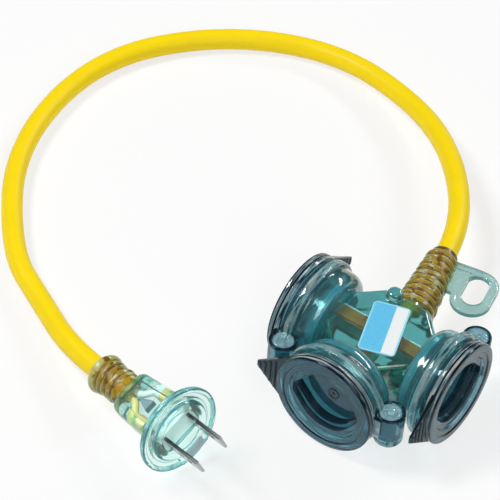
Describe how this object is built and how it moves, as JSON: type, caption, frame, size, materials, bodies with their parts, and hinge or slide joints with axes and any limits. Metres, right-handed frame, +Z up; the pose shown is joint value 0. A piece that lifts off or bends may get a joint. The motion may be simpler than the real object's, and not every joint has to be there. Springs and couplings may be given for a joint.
{
  "type": "extension cord",
  "caption": "Short outdoor extension cord: a clear plus-shaped tap with lidded outlet cups, a ribbed boot and an eyelet, a thick yellow cord, and a round-flanged flat-blade plug.",
  "frame": {"origin": "on the surface that the tap lies on, under the middle of the tap with its boot and eyelet, without the cord and the plug", "axes": "+Z up; +Y from the front outlet through the tap towards its cord boot; +X towards the right-hand outlet"},
  "size_m": [0.241, 0.2468, 0.045],
  "materials": {
    "clear_teal": "clear teal soft plastic",
    "clear_aqua": "clear aqua soft plastic",
    "smoke_lid": "translucent smoke plastic",
    "outlet_face": "moulded plastic",
    "yellow_sheath": "matt yellow vinyl",
    "wire_cover": "pale vinyl",
    "contact_brass": "rolled sheet",
    "bright_nickel": "nickel plate",
    "label_face": "bare printed sheet",
    "milky_plastic": "moulded plastic",
    "slate_spacer": "moulded plastic",
    "grey_panel": "bare sheet"
  },
  "bodies": {
    "tap": {"tap_hub": "clear_teal", "tap_boot": "clear_teal", "hanging_eyelet": "clear_teal", "label_plate": "label_face", "tap_sheath": "yellow_sheath", "cord": "yellow_sheath", "plug_sheath": "yellow_sheath", "upper_bus": "contact_brass", "lower_bus": "contact_brass", "upper_crimp": "contact_brass", "lower_crimp": "contact_brass", "upper_conductor": "wire_cover", "lower_conductor": "wire_cover", "plug_body": "clear_aqua", "plug_boot": "clear_aqua", "plug_blade_left": "bright_nickel", "plug_blade_right": "bright_nickel", "plug_crimp_left": "contact_brass", "plug_crimp_right": "contact_brass", "plug_conductor_left": "wire_cover", "plug_conductor_right": "wire_cover", "blade_holder": "milky_plastic", "conductor_spacer": "slate_spacer", "flange_panel": "grey_panel", "outlet_cup_south": "clear_teal", "outlet_face_south": "outlet_face", "upper_contact_south": "contact_brass", "lower_contact_south": "contact_brass", "hinge_pin_south": "clear_teal", "outlet_cup_east": "clear_teal", "outlet_face_east": "outlet_face", "upper_contact_east": "contact_brass", "lower_contact_east": "contact_brass", "hinge_pin_east": "clear_teal", "outlet_cup_west": "clear_teal", "outlet_face_west": "outlet_face", "upper_contact_west": "contact_brass", "lower_contact_west": "contact_brass", "hinge_pin_west": "clear_teal"},
    "lid_south": {"lid_south": "smoke_lid"},
    "lid_east": {"lid_east": "smoke_lid"},
    "lid_west": {"lid_west": "smoke_lid"}
  },
  "joints": [
    {"name": "lid_south_hinge", "type": "hinge", "parent": "tap", "child": "lid_south", "pos_m": [0.0248, -0.03968, 0.0225], "axis": [0, 0, 1], "range_deg": [0, 95]},
    {"name": "lid_east_hinge", "type": "hinge", "parent": "tap", "child": "lid_east", "pos_m": [0.0289, 0.01402, 0.0225], "axis": [0, 0, 1], "range_deg": [0, 95]},
    {"name": "lid_west_hinge", "type": "hinge", "parent": "tap", "child": "lid_west", "pos_m": [-0.0289, -0.03558, 0.0225], "axis": [0, 0, 1], "range_deg": [0, 95]}
  ]
}
